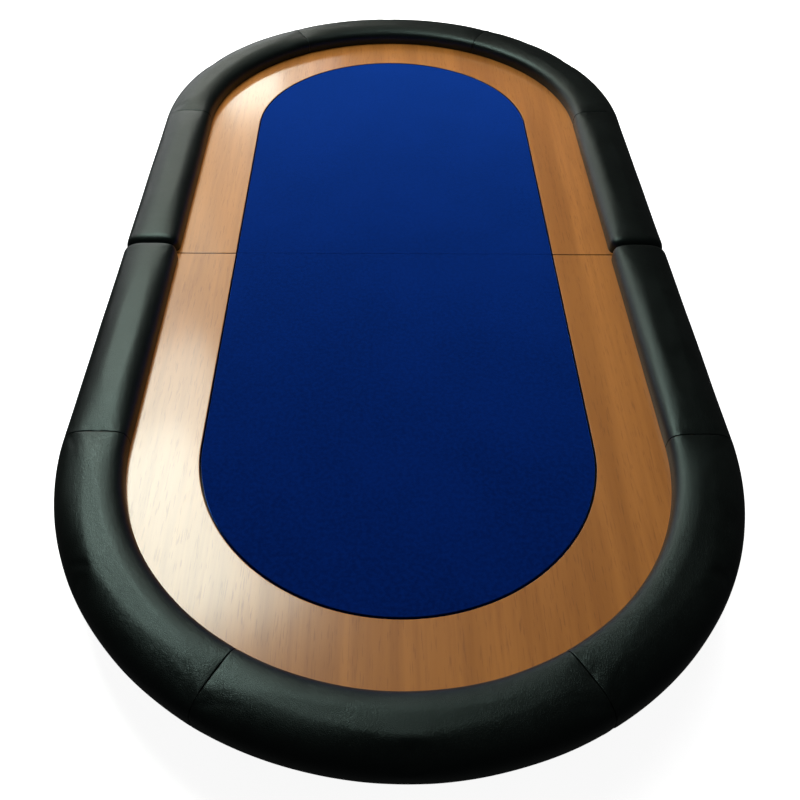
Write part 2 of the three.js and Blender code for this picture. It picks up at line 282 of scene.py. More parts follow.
class Finish:
    """One material, built node by node on its Principled shader."""

    def __init__(self, name, **constants):
        self.material = bpy.data.materials.new(name)
        self.material.use_nodes = True
        self.tree = self.material.node_tree
        self.shader = self.tree.nodes["Principled BSDF"]
        self.place = self.add("ShaderNodeTexCoord", out="Object")
        for key, value in constants.items():
            self.shader.inputs[key.replace("_", " ")].default_value = value

    def add(self, kind, settings=None, inputs=None, out=0):
        """Any node: its settings first, then a value or a wire for each named or numbered socket."""
        node = self.tree.nodes.new(kind)
        for key, value in (settings or {}).items():
            setattr(node, key, value)
        for key, value in (inputs or {}).items():
            self.feed(node.inputs[key], value)
        return Wire(self, node.outputs[out])

    def feed(self, socket, value):
        if isinstance(value, Wire):
            self.tree.links.new(value.socket, socket)
        else:
            socket.default_value = value

    def stretched(self, scale, turn=(0, 0, 0)):
        """The object's own coordinates, stretched and turned."""
        return self.add("ShaderNodeMapping", None, {"Vector": self.place, "Scale": scale, "Rotation": turn})

    def noise(self, scale, detail=3, roughness=0.5, at=None, distortion=0):
        inputs = {"Vector": at or self.place, "Scale": scale, "Detail": detail}
        inputs.update({"Roughness": roughness, "Distortion": distortion})
        return self.add("ShaderNodeTexNoise", None, inputs)

    def cells(self, scale):
        """Distance to the edge of the nearest cell."""
        inputs = {"Vector": self.place, "Scale": scale}
        return self.add("ShaderNodeTexVoronoi", {"feature": "DISTANCE_TO_EDGE"}, inputs)

    def waves(self, scale, at, distortion=0, detail=0):
        inputs = {"Vector": at, "Scale": scale, "Distortion": distortion, "Detail": detail}
        return self.add("ShaderNodeTexWave", {"wave_type": "BANDS"}, inputs)

    def blend(self, factor, a, b):
        """Two colours, mixed by a factor."""
        paint = [(*c, 1) if isinstance(c, tuple) else c for c in (a, b)]
        inputs = {0: factor, 6: paint[0], 7: paint[1]}
        return self.add("ShaderNodeMix", {"data_type": "RGBA"}, inputs, out=2)

    def bump(self, height, distance, strength=1.0, under=None):
        inputs = {"Height": height, "Distance": distance, "Strength": strength}
        if under:
            inputs["Normal"] = under
        return self.add("ShaderNodeBump", None, inputs)

    def paint(self, **sockets):
        for key, value in sockets.items():
            self.feed(self.shader.inputs[key.replace("_", " ")], value)
        return self.material


def dress(piece, material):
    piece.data.materials.clear()
    piece.data.materials.append(material)


def fit(piece, material, slot, half, *nodes):
    """Dresses a finished piece, lets it ride its half, and hides the frame's nodes that it replaces."""
    dress(piece, material)
    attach(piece, f"{half}_half")
    if nodes:
        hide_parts(*nodes)


print("shader tools ready")

# %% [markdown]
# ## Black vinyl
# Upholstery vinyl is embossed with a pebbled grain about a millimetre and a half across, and pulled
# tight it keeps shallow stretch marks. Cell edges give the pebbles, a coarser noise breaks up the sheen.

# %% The rail's vinyl


def vinyl_finish():
    vinyl = Finish("rail_vinyl", Specular_IOR_Level=0.46)
    vinyl.shader.inputs["Specular Tint"].default_value = (0.74, 1.0, 1.0, 1)
    grain = vinyl.cells(560).between(0.0, 0.28)
    fine = vinyl.noise(260, detail=4, roughness=0.65)
    patches = vinyl.noise(13, detail=6, roughness=0.7)
    marks = vinyl.noise(34, detail=4, roughness=0.6, distortion=0.8)
    colour = vinyl.blend(patches.between(0.3, 0.7), (0.0016, 0.0021, 0.0018), (0.0036, 0.0046, 0.0041))
    # Painted shade: the colour is darker in the grooves between the pebbles.
    colour = vinyl.blend(0.35 * (1 - grain), colour, (0.0010, 0.0012, 0.0011))
    relief = vinyl.bump(0.8 * grain + 0.9 * fine, 0.00022, 0.50)
    relief = vinyl.bump(marks, 0.0014, 0.30, under=relief)
    roughness = 0.22 + 0.20 * patches + 0.06 * (1 - grain)
    return vinyl.paint(Base_Color=colour, Roughness=roughness, Normal=relief)


VINYL = vinyl_finish()
print(VINYL.name)

# %% [markdown]
# ## Wood laminate
# The racetrack is a printed beech or cherry decor under a hard clear layer. Its grain runs the length of
# the table: broad soft bands, fine dark pores a few millimetres long, and a slow drift in colour. The
# clear layer is almost a mirror, so the roughness stays low and the relief slight.

# %% The racetrack's laminate


def laminate_finish():
    wood = Finish("racetrack_laminate", Coat_Weight=0.8, Coat_Roughness=0.13, Coat_IOR=1.55)
    along = wood.stretched((1, 0.045, 1))
    bands = wood.noise(26, detail=4, roughness=0.55, at=along, distortion=0.6)
    streaks = wood.noise(120, detail=3, roughness=0.6, at=along)
    pores = wood.noise(620, detail=1, at=wood.stretched((1, 0.06, 1))).between(0.60, 0.70)
    drift = wood.noise(2.2, detail=2)
    colour = wood.blend(bands.between(0.32, 0.68), (0.300, 0.107, 0.019), (0.405, 0.152, 0.029))
    colour = wood.blend(0.45 * streaks.between(0.42, 0.72), colour, (0.240, 0.079, 0.013))
    colour = wood.blend(0.42 * pores, colour, (0.145, 0.043, 0.008))
    colour = wood.blend(0.30 * drift.between(0.35, 0.7), colour, (0.430, 0.167, 0.033))
    relief = wood.bump(streaks + 0.5 * pores, 0.00006, 0.4)
    relief = wood.bump(wood.noise(5, detail=1), 0.0006, 0.05, under=relief)
    height = wood.add("ShaderNodeSeparateXYZ", None, {"Vector": wood.place}, out=2)
    # Painted shade, partly sealed edge: the board's sides below the top are near black, standing in for the
    # shade in the fold gap and in the groove round the cloth.
    edge_paint_and_gap_shade = 1 - height.between(TRACK_TOP - 0.6 * MM, TRACK_TOP - 0.25 * MM)
    colour = wood.blend(edge_paint_and_gap_shade, colour, (0.010, 0.007, 0.005))
    roughness = 0.30 + 0.06 * streaks + 0.08 * pores + 0.3 * edge_paint_and_gap_shade
    return wood.paint(Base_Color=colour, Roughness=roughness, Normal=relief)


LAMINATE = laminate_finish()
print(LAMINATE.name)

# %% [markdown]
# ## Blue speed cloth
# Playing cloth is a tight polyester twill with a raised fibre surface. The twill's diagonal is half a
# millimetre wide, so from standing height it only shows as a fine mottle, and the fibre tips catch light
# at a low angle, which the shader's sheen gives.

# %% The playing cloth


def cloth_finish():
    cloth = Finish("speed_cloth", Sheen_Weight=1.0, Sheen_Roughness=0.36, Specular_IOR_Level=0.01)
    cloth.shader.inputs["Sheen Tint"].default_value = (0.050, 0.33, 1.9, 1)
    twill = cloth.waves(330, cloth.stretched((1, 1, 1), (0, 0, math.radians(38))), 0.5, 1)
    threads = cloth.waves(420, cloth.stretched((1, 1, 1), (0, 0, math.radians(-52))), 0.4, 1)
    fuzz = cloth.noise(900, detail=2)
    mottle = cloth.noise(170, detail=4, roughness=0.7)
    cloudy = cloth.noise(7, detail=3)
    weave = 0.6 * twill + 0.4 * threads
    colour = cloth.blend(mottle.between(0.33, 0.68), (0.0003, 0.0070, 0.069), (0.0005, 0.0122, 0.112))
    colour = cloth.blend(0.30 * (1 - weave), colour, (0.0002, 0.0040, 0.046))
    colour = cloth.blend(0.20 * cloudy.between(0.35, 0.7), colour, (0.0012, 0.0155, 0.145))
    relief = cloth.bump(0.5 * weave + 0.5 * fuzz, 0.00022, 0.6)
    relief = cloth.bump(mottle, 0.00035, 0.35, under=relief)
    return cloth.paint(Base_Color=colour, Roughness=0.80 + 0.14 * mottle, Normal=relief)


CLOTH = cloth_finish()
print(CLOTH.name)

# %% [markdown]
# ## Boards, foam, rubber and steel
# The rest is what an upholsterer's bench holds: black-painted board underneath, plywood and foam inside,
# moulded rubber feet, and zinc-plated hinges with a drawn grain. The plywood's ends at the fold, which
# show when the top is folded, are sealed with black paint.

# %% The other finishes


def painted_finish():
    paint = Finish("painted_board", Specular_IOR_Level=0.4)
    orange_peel = paint.noise(260, detail=3)
    fibres = paint.noise(70, detail=4, at=paint.stretched((1, 0.08, 1)))
    scuffs = paint.noise(16, detail=5, roughness=0.7).between(0.62, 0.78)
    colour = paint.blend(fibres, (0.0075, 0.0075, 0.008), (0.014, 0.014, 0.0145))
    colour = paint.blend(0.35 * scuffs, colour, (0.045, 0.043, 0.040))
    relief = paint.bump(orange_peel + 0.6 * fibres, 0.00018, 0.55)
    return paint.paint(Base_Color=colour, Roughness=0.52 + 0.18 * scuffs + 0.08 * fibres, Normal=relief)


def plywood_finish():
    wood = Finish("plywood")
    along = wood.stretched((1, 0.05, 1))
    rings = wood.noise(34, detail=4, at=along, distortion=1.2)
    pores = wood.noise(500, detail=2, at=along).between(0.58, 0.7)
    plies = wood.waves(230, wood.stretched((0, 0, 1), (0, math.radians(90), 0)))
    colour = wood.blend(rings, (0.50, 0.33, 0.17), (0.66, 0.48, 0.28))
    colour = wood.blend(0.25 * plies + 0.3 * pores, colour, (0.30, 0.18, 0.09))
    across = wood.add("ShaderNodeSeparateXYZ", None, {"Vector": wood.place}, out=1)
    sealed_end = 1 - across.math("ABSOLUTE", across).between(4.5 * MM, 5.5 * MM)
    colour = wood.blend(sealed_end, colour, (0.010, 0.010, 0.010))
    return wood.paint(Base_Color=colour, Roughness=0.66 + 0.12 * rings, Normal=wood.bump(pores, 0.0002, 0.5))


def foam_finish():
    foam = Finish("foam", Specular_IOR_Level=0.2)
    pits = foam.cells(1100).between(0.02, 0.3)
    age = foam.noise(12, detail=3)
    colour = foam.blend(age, (0.74, 0.69, 0.52), (0.80, 0.77, 0.66))
    # Painted shade: the colour is darker in the foam's pits.
    colour = foam.blend(0.5 * (1 - pits), colour, (0.45, 0.40, 0.28))
    return foam.paint(Base_Color=colour, Roughness=0.90 + 0.06 * age, Normal=foam.bump(pits, 0.0004, 0.8))


def rubber_finish():
    rubber = Finish("foot_rubber", Specular_IOR_Level=0.35)
    fine = rubber.noise(1400, detail=3)
    dust = rubber.noise(90, detail=4).between(0.5, 0.75)
    colour = rubber.blend(0.5 * dust, (0.010, 0.010, 0.011), (0.035, 0.034, 0.032))
    return rubber.paint(Base_Color=colour, Roughness=0.62 + 0.2 * dust, Normal=rubber.bump(fine, 0.0001, 0.5))


def steel_finish():
    steel = Finish("hinge_steel", Metallic=1.0)
    drawn = steel.noise(1500, detail=3, at=steel.stretched((0.03, 1, 1)))
    bloom = steel.noise(60, detail=3)
    colour = steel.blend(bloom.between(0.35, 0.7), (0.56, 0.57, 0.58), (0.60, 0.57, 0.49))
    roughness = 0.26 + 0.14 * drawn + 0.08 * bloom
    return steel.paint(Base_Color=colour, Roughness=roughness, Normal=steel.bump(drawn, 0.00005, 0.6))


PAINTED = painted_finish()
PLYWOOD = plywood_finish()
FOAM = foam_finish()
RUBBER = rubber_finish()
STEEL = steel_finish()
print(len(bpy.data.materials), "materials")

# %% [markdown]
# ## The shape of the padded rail
# In section the rail is a squarish dome: up the inner wall from the racetrack, over the crest, down to
# its widest line and in under the base board, where the vinyl is stapled. Three quarters of a
# superellipse draw it. In plan it follows the oval, so a point is found from how far round the section
# it lies and how far along the rail.

# %% Section and route of the rail
FOOT_CLEARANCE = 0.3 * MM
STRAIGHT = SPINE - COVER_GAP
BEND = math.pi * RAIL_MIDDLE
RAIL_LENGTH = 2 * STRAIGHT + BEND


def superquarter(fullness, steps=60):
    """(cosine, sine) pairs of a quarter superellipse; a fuller one is squarer."""
    power = 2 / fullness
    angles = np.linspace(0, math.pi / 2, steps)
    return np.cos(angles).clip(0, 1) ** power, np.sin(angles) ** power


def rail_section(points):
    """The vinyl's outer line as evenly spaced (radius, height) points, and its outward normals."""
    inner_c, inner_s = superquarter(INNER_FULLNESS)
    c, s = superquarter(OUTER_FULLNESS)
    half = RAIL_OUTER - RAIL_MIDDLE
    foot = TRACK_TOP + FOOT_CLEARANCE
    inner_wall = (RAIL_MIDDLE - half * inner_c, foot + (CREST - foot) * inner_s)
    outer_wall = (RAIL_MIDDLE + half * s, WIDEST + (CREST - WIDEST) * c)
    tuck = (TUCK_RADIUS + (RAIL_OUTER - TUCK_RADIUS) * c, WIDEST - (WIDEST - COVER_BOTTOM) * s)
    stapled_edge = ([TURN_UNDER_EDGE], [COVER_BOTTOM])
    line = np.concatenate([inner_wall, outer_wall, tuck, stapled_edge], axis=1).T
    steps = np.linalg.norm(np.diff(line, axis=0), axis=1)
    far = np.concatenate([[0], np.cumsum(steps)])
    even = np.linspace(0, far[-1], points)
    line = np.stack([np.interp(even, far, line[:, 0]), np.interp(even, far, line[:, 1])], 1)
    along = np.gradient(line, axis=0)
    along /= np.linalg.norm(along, axis=1)[:, None]
    return line, np.stack([-along[:, 1], along[:, 0]], 1)


def on_rail(radius, distance, height):
    """The place at a radius, a distance along the rail from its right fold end, and a height."""
    turn = np.clip((distance - STRAIGHT) / RAIL_MIDDLE, 0, math.pi)
    back = np.clip(distance, 0, STRAIGHT) - np.clip(distance - STRAIGHT - BEND, 0, STRAIGHT)
    x = radius * np.cos(turn)
    y = -COVER_GAP - back - radius * np.sin(turn)
    return np.stack([x, y, height], -1)


section_top = rail_section(50)[0][:, 1].max()
print("section's top", round(float(section_top), 4), "rail length", round(RAIL_LENGTH, 3))

# %% [markdown]
# ## Vinyl panels
# On the real rail each panel is a flat piece of vinyl, sewn to the next and pulled round the foam. The
# same is done here: a flat grid is wrapped round the section and along the rail by moving its points.
# Next to a seam the last few millimetres roll inwards, and at the fold the foam's corner is rounded and
# the vinyl closes the end.

# %% Lay out one panel
SECTION_POINTS = 46
STATION_STEP = 6.5 * MM
SEAM_ROLL = 1.5 * MM
FOLD_ROLL = 15 * MM
ROLL_ROWS = 7
END_WALL_ROWS = (0.8, 0.6, 0.4, 0.2, 0.05)
END_WALL_MIDDLE = np.array([RAIL_MIDDLE - 22 * MM, TRACK_TOP + 0.4 * MM])
HELD_WHEN_SUNK = 0.25 * MM


def roll_rows(radius):
    """Distances from a rolled end, with how far the vinyl has sunk there."""
    angles = np.linspace(0, math.pi / 2, ROLL_ROWS)
    return [(radius * (1 - math.cos(a)), radius * (1 - math.sin(a))) for a in angles]


def panel_rows(start, end, start_roll, end_roll):
    """Rows of a panel: (distance along the rail, how far sunk, how much of the end wall is left)."""
    rows = []
    for rolled, place, sign in ((start_roll, start, 1), (end_roll, end, -1)):
        side = [(place + sign * d, sunk, 1.0) for d, sunk in roll_rows(rolled)]
        if rolled == FOLD_ROLL:
            side = [(place, rolled, k) for k in reversed(END_WALL_ROWS)] + side
        rows.append(side if sign > 0 else side[::-1])
    first, last = rows[0][-1][0], rows[1][0][0]
    count = max(2, round((last - first) / STATION_STEP))
    between = [(first + (last - first) * i / count, 0.0, 1.0) for i in range(1, count)]
    return rows[0] + between + rows[1]


def wrapped_panel(name, start, end, start_roll, end_roll):
    """A flat grid wrapped round the rail from one distance to another."""
    rows = np.array(panel_rows(start, end, start_roll, end_roll))
    line, normals = rail_section(SECTION_POINTS)
    size = (SECTION_POINTS - 1, len(rows) - 1)
    bpy.ops.mesh.primitive_grid_add(x_subdivisions=size[0], y_subdivisions=size[1], size=1)
    panel = bpy.context.object
    flat = np.empty(len(panel.data.vertices) * 3)
    panel.data.vertices.foreach_get("co", flat)
    flat = flat.reshape(-1, 3) + 0.5
    across = np.round(flat[:, 0] * size[0]).astype(int)
    row = np.round(flat[:, 1] * size[1]).astype(int)
    distance, sunk, left = rows[row].T
    point = line[across] - normals[across] * sunk[:, None]
    point = END_WALL_MIDDLE + (point - END_WALL_MIDDLE) * left[:, None]
    placed = on_rail(point[:, 0], distance, point[:, 1])
    panel.data.vertices.foreach_set("co", placed.ravel())
    held = (sunk > HELD_WHEN_SUNK) | (across < 2) | (across > SECTION_POINTS - 5)
    held_group = panel.vertex_groups.new(name="held")
    held_group.add([int(i) for i in np.flatnonzero(held)], 1.0, "REPLACE")
    select_all = lambda: bpy.ops.mesh.select_all(action="SELECT")
    edit(panel, "FACE", select_all, lambda: bpy.ops.mesh.flip_normals())
    panel.name = name
    return panel


SEAM_TURN = math.radians(60) * RAIL_MIDDLE
SEAMS = [0.0, STRAIGHT, STRAIGHT + SEAM_TURN, STRAIGHT + 2 * SEAM_TURN, STRAIGHT + BEND, RAIL_LENGTH]
PANEL_NAMES = ("right_side", "right_bend", "end_bend", "left_bend", "left_side")
rolls = [FOLD_ROLL] + [SEAM_ROLL] * 4 + [FOLD_ROLL]
near_panels = [
    wrapped_panel(name, SEAMS[i], SEAMS[i + 1], rolls[i], rolls[i + 1]) for i, name in enumerate(PANEL_NAMES)
]
print("panels", {p.name: len(p.data.polygons) for p in near_panels})

# %% [markdown]
# ## Filling the panels
# Foam pushes the vinyl out between the seams and the staples. A cloth simulation does the same: the
# rows at seams and edges are held, a slight pressure fills the rest, and no point may move further than
# a few millimetres. All five panels of a half swell together, then gathers are added along the seams.

# %% Swell the vinyl
SWELL_FRAMES = 20
SWELL_MOST = 2.6 * MM
GATHER_REACH = 13 * MM
GATHER_DEPTH = 0.75 * MM
GATHERS_PER_METRE = (160, 60, 160)
SLACK_DEPTH = 0.35 * MM
SLACK_PER_METRE = (14, 14, 20)


def points_of(piece):
    flat = np.empty(len(piece.data.vertices) * 3)
    piece.data.vertices.foreach_get("co", flat)
    return flat.reshape(-1, 3)


def swell(piece):
    """Fills a piece by cloth pressure, with its held vertices still."""
    before = points_of(piece)
    take(piece)
    cloth = piece.modifiers.new("Cloth", "CLOTH")
    settings = cloth.settings
    settings.quality = 4
    settings.mass = 0.25
    settings.tension_stiffness = settings.compression_stiffness = 18
    settings.bending_stiffness = 0.8
    settings.use_pressure = True
    settings.uniform_pressure_force = 4
    settings.vertex_group_mass = "held"
    settings.effector_weights.gravity = 0
    cloth.point_cache.frame_end = SWELL_FRAMES
    for number in range(1, SWELL_FRAMES + 1):
        bpy.context.scene.frame_set(number)
    bpy.ops.object.modifier_apply(modifier=cloth.name)
    bpy.context.scene.frame_set(1)
    moved = points_of(piece) - before
    far = np.linalg.norm(moved, axis=1)
    moved *= np.minimum(1, SWELL_MOST / np.maximum(far, 1e-9))[:, None]
    piece.data.vertices.foreach_set("co", (before + moved).ravel())
    print(piece.name, "swelled by up to", round(float(far.max()) * 1000, 2), "mm")


def seam_places():
    """A point on each sewn seam's plane with the direction across the seam."""
    places = []
    for angle in (0, 60, 120, 180):
        turn = math.radians(angle)
        places.append((Vector((0, -SPINE, 0)), Vector((-math.sin(turn), -math.cos(turn), 0))))
    return places


def ripple(place, per_metre):
    """Smooth noise at a place, with so many waves a metre along each axis."""
    return noise.noise(Vector([a * b for a, b in zip(place, per_metre)]))


def gathers(piece):
    """Shallow puckers where the vinyl is drawn into a seam, and a slow unevenness everywhere."""
    seams = seam_places()
    normals = [v.normal.copy() for v in piece.data.vertices]
    for vertex, normal in zip(piece.data.vertices, normals):
        place = vertex.co
        out = Vector((place.x, min(0, place.y + SPINE), 0))
        for origin, across in seams:
            side = abs((place - origin).dot(across))
            same_side = out.dot(Vector((-across.y, across.x, 0))) > 0
            if side < 3 * GATHER_REACH and same_side:
                fade = math.exp(-side / GATHER_REACH)
                pucker = max(0.0, ripple(place, GATHERS_PER_METRE) + 0.15)
                vertex.co -= normal * GATHER_DEPTH * fade * pucker
        vertex.co += normal * SLACK_DEPTH * ripple(place, SLACK_PER_METRE)


near_rail = joined(near_panels, "near_rail")
swell(near_rail)
modify(near_rail, "SUBSURF", levels=1, render_levels=1)
gathers(near_rail)
modify(near_rail, "SOLIDIFY", thickness=COVER_THICKNESS, offset=-1)
print("rail half", len(near_rail.data.polygons), "faces")

# %% [markdown]
# ## Two rails from one
# The finished half comes apart into its five panels, and a copy turned half round makes the far rail.
# Each panel stands for its vinyl in the frame and for the foam behind it.

# %% Separate the panels and copy them
take(near_rail)
bpy.ops.object.mode_set(mode="EDIT")
bpy.ops.mesh.separate(type="LOOSE")
bpy.ops.object.mode_set(mode="OBJECT")
loose = list(bpy.context.selected_objects)


def panel_key(piece):
    """How far round the rail the panel's middle lies."""
    middle = points_of(piece).mean(axis=0)
    if middle[1] > -SPINE:
        return 0.0 if middle[0] > 0 else 180.0
    return math.degrees(math.atan2(-(middle[1] + SPINE), middle[0]))


loose.sort(key=panel_key)
MIRRORED = {"right": "left", "left": "right", "end": "end"}


def foam_behind(half, side, kind):
    if kind == "side":
        return [f"{half}_rail_foam_{side}"]
    return [f"{half}_rail_foam_end"] if side == "end" else []


def finish_panel(piece, half, name):
    side, kind = name.split("_")
    settle(piece, f"{half}_vinyl_{name}", 60)
    fit(piece, VINYL, "rail_vinyl", half, f"{half}_rail_cover_{name}", *foam_behind(half, side, kind))


for piece, name in zip(loose, PANEL_NAMES):
    side, kind = name.split("_")
    far = copied(piece, "far_copy", HALF_TURN)
    finish_panel(piece, "near", name)
    finish_panel(far, "far", f"{MIRRORED[side]}_{kind}")
print(len(loose), "panels a half")

# %% [markdown]
# ## Boards
# Every flat board is half of the oval. A cylinder gives the round end: it is cut through its middle and
# the cut face is drawn out to the fold. The arrises are then broken by a small bevel.

# %% Half-oval boards


def half_oval(name, radius, gap, bottom, top, arris, vertices=160):
    """A solid half oval, its round end on the spine's end and its flat end at the fold."""
    place = (0, -SPINE, (bottom + top) / 2)
    bpy.ops.mesh.primitive_cylinder_add(vertices=vertices, radius=radius, depth=top - bottom, location=place)
    board = freeze(bpy.context.object)
    bpy.ops.object.mode_set(mode="EDIT")
    bpy.ops.mesh.select_all(action="SELECT")
    bpy.ops.mesh.bisect(plane_co=place, plane_no=(0, 1, 0), use_fill=True, clear_outer=True)
    bpy.ops.object.mode_set(mode="OBJECT")
    pick(board, lambda f: f.normal.y > 0.9)
    edit(board, "FACE", lambda: pull(0, SPINE - gap, 0))
    if arris:
        modify(board, "BEVEL", width=arris, segments=3, limit_method="ANGLE", angle_limit=math.radians(40))
    board.name = name
    return board


def flatten_faces(board, thickness=0.8 * MM):
    """Insets the large flat faces, so that their shading stays flat up to the rounded edges."""
    for side in (1, -1):
        pick(board, lambda f: f.normal.z * side > 0.999 and f.area > 0.001)
        edit(board, "FACE", lambda: bpy.ops.mesh.inset(thickness=thickness))


near_base = half_oval("near_base", BASE_RADIUS, BASE_GAP, BASE_BOTTOM, BASE_TOP, 0.8 * MM)
flatten_faces(near_base)
settle(near_base, "near_base_panel")
far_base = copied(near_base, "far_base_panel", HALF_TURN)
for half, board in (("near", near_base), ("far", far_base)):
    fit(board, PAINTED, "painted_board", half, f"{half}_base_board")
print("base", len(near_base.data.polygons), "faces")

# %% [markdown]
# ## The racetrack
# The racetrack is a board with its middle cut out. The playing area is cut from a half oval by a larger
# tool, and the cut edge gets the same small radius that a router leaves on laminate.

# %% Cut the racetrack
TRACK_VERTICES = 224
CUT_SPARE = 10 * MM


def racetrack_half():
    track = half_oval("near_track", TRACK_OUTER, TRACK_GAP, TRACK_BOTTOM, TRACK_TOP, 0, TRACK_VERTICES)
    below = TRACK_BOTTOM - CUT_SPARE
    above = TRACK_TOP + CUT_SPARE
    opening = half_oval("opening", TRACK_INNER, -2 * CUT_SPARE, below, above, 0, TRACK_VERTICES)
    cut_by(track, opening)
    modify(track, "BEVEL", width=0.4 * MM, segments=3, limit_method="ANGLE", angle_limit=math.radians(50))
    flatten_faces(track)
    return settle(track, "near_track_panel", 40)


near_track = racetrack_half()
far_track = copied(near_track, "far_track_panel", HALF_TURN)
for half, board in (("near", near_track), ("far", far_track)):
    fit(board, LAMINATE, "racetrack_laminate", half, f"{half}_racetrack")
print("racetrack", len(near_track.data.polygons), "faces")

# %% [markdown]
# ## The playing cloth
# The cloth is drawn over its padded board and down round the edge. It starts as a half oval, loses its
# underside, and its top edge is rounded by the pad. What is left is a thin skin, given its thickness last.

# %% Stretch the cloth
CLOTH_THICKNESS = 0.7 * MM
CLOTH_EDGE = 0.6 * MM
CLOTH_FOLD_EDGE = 0.3 * MM
CLOTH_MEETS = 0.15 * MM


def playing_cloth():
    cloth = half_oval("near_cloth", CLOTH_RADIUS, CLOTH_MEETS, CLOTH_BOTTOM, CLOTH_TOP, 0, 200)
    top_edge = lambda a, b: min(a.z, b.z) > CLOTH_TOP - 0.1 * MM
    at_fold = lambda a, b: min(a.y, b.y) > -CLOTH_MEETS - 0.1 * MM
    pick(cloth, lambda a, b: top_edge(a, b) and at_fold(a, b), "edges")
    round_off(cloth, "EDGE", CLOTH_FOLD_EDGE, 2)
    pick(cloth, lambda a, b: top_edge(a, b) and not at_fold(a, b), "edges")
    round_off(cloth, "EDGE", CLOTH_EDGE, 5)
    flatten_faces(cloth, 0.5 * MM)
    pick(cloth, faces_down)
    edit(cloth, "FACE", lambda: bpy.ops.mesh.delete(type="FACE"))
    modify(cloth, "SOLIDIFY", thickness=CLOTH_THICKNESS, offset=-1)
    return settle(cloth, "near_cloth_panel", 40)


near_cloth = playing_cloth()
far_cloth = copied(near_cloth, "far_cloth_panel", HALF_TURN)
for half, piece in (("near", near_cloth), ("far", far_cloth)):
    fit(piece, CLOTH, "speed_cloth", half, f"{half}_play_cloth")

# %% [markdown]
# ## Screws
# A pan-head screw is a short cylinder with a domed edge and a cross driven into its face. The cross is
# cut by two small wedges. One head is made once and then copied wherever a screw shows.

# %% Pan heads and countersunk heads
HEAD_RADIUS = 4.2 * MM
HEAD_HEIGHT = 2.2 * MM
SCREW_RADIUS = 1.9 * MM
SUNK_HEAD_RADIUS = 3.6 * MM
CROSS_WIDTH = 0.9 * MM
CROSS_DEPTH = 1.1 * MM
POINT_SHARE = 0.12


def cross_cut(head, face_height, span):
    """Cuts a cross into a head whose face looks down at face_height."""
    for turn in (0, 90):
        place = (0, 0, face_height)
        bpy.ops.mesh.primitive_cube_add(size=1, location=place, rotation=(0, 0, math.radians(turn)))
        wedge = bpy.context.object
        wedge.scale = (span, CROSS_WIDTH, 2 * CROSS_DEPTH)
        cut_by(head, freeze(wedge))


def pan_head():
    """A head whose seat is at z 0 and whose face looks down."""
    place = (0, 0, -HEAD_HEIGHT / 2)
    bpy.ops.mesh.primitive_cylinder_add(vertices=24, radius=HEAD_RADIUS, depth=HEAD_HEIGHT, location=place)
    head = freeze(bpy.context.object)
    pick(head, faces_down)
    round_off(head, "FACE", HEAD_HEIGHT / 2, 4)
    cross_cut(head, -HEAD_HEIGHT, 4.6 * MM)
    return head


def sunk_screw(face, seat, tip):
    """A countersunk screw pointing up, its face at one height and its tip at another."""
    place = (0, 0, (tip + seat) / 2)
    bpy.ops.mesh.primitive_cylinder_add(vertices=32, radius=SCREW_RADIUS, depth=tip - seat, location=place)
    screw = freeze(bpy.context.object)
    pick(screw, faces_down)
    spread = SUNK_HEAD_RADIUS / SCREW_RADIUS
    grow = lambda: bpy.ops.transform.resize(value=(spread, spread, 1))
    edit(screw, "FACE", lambda: pull(0, 0, face - seat), grow)
    pick(screw, lambda f: f.normal.z > 0.9)
    edit(screw, "FACE", lambda: bpy.ops.transform.resize(value=(POINT_SHARE, POINT_SHARE, 1)))
    cross_cut(screw, face, 4.4 * MM)
    return screw


pan = pan_head()
print("pan head", len(pan.data.polygons), "faces")

# %% [markdown]
# ## Rubber feet
# Each foot is a moulded puck with a recess for its screw. The puck is a cylinder: its lower face is
# inset and pushed in, and the rims are rounded the way a mould leaves them.

# %% Make the feet
RECESS_RADIUS = 5.6 * MM
RECESS_DEPTH = 4 * MM
PUCK_RIM = 1.3 * MM
SEAT_GAP = 0.02 * MM
FEET = ("fold_right", "fold_left", "end_right", "end_left")


def foot_puck(radius, height):
    bpy.ops.mesh.primitive_cylinder_add(vertices=48, radius=radius, depth=height, location=(0, 0, height / 2))
    puck = freeze(bpy.context.object)
    pick(puck, faces_down)
    inset = lambda: bpy.ops.mesh.inset(thickness=radius - RECESS_RADIUS)
    edit(puck, "FACE", inset, lambda: pull(0, 0, RECESS_DEPTH))
    rim = lambda a, b: a.z < 1e-6 and b.z < 1e-6 and abs(a.xy.length - b.xy.length) < 1e-5
    pick(puck, rim, "edges")
    round_off(puck, "EDGE", PUCK_RIM, 4)
    return puck


foot_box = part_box("near_foot_fold_right")
foot_radius = (foot_box[1].x - foot_box[0].x) / 2
puck = foot_puck(foot_radius, BASE_BOTTOM - SEAT_GAP)
for half in ("near", "far"):
    heads = []
    for place in FEET:
        node = f"{half}_foot_{place}"
        middle = (low(node) + high(node)) / 2
        shift = Matrix.Translation((middle.x, middle.y, 0))
        foot = settle(copied(puck, "puck", shift), f"{half}_puck_{place}", 50)
        fit(foot, RUBBER, "foot_rubber", half, node)
        turn = Matrix.Rotation(len(heads) * 0.7, 4, "Z")
        seat = Matrix.Translation((middle.x, middle.y, RECESS_DEPTH - SEAT_GAP))
        heads.append(copied(pan, "head", seat @ turn))
    screws = settle(joined(heads, "screws"), f"{half}_foot_screws")
    fit(screws, STEEL, "hinge_steel", half)
bpy.data.objects.remove(puck)
print("feet", len(FEET) * 2, "radius", round(foot_radius, 4))

# %% [markdown]
# ## Hinges
# A butt hinge is two stamped leaves rolled round one pin. The near leaf has the outer and middle
# knuckles, the far leaf the two between. The frame's boxes give the leaf and the pin, and what they
# can't tell is named here.

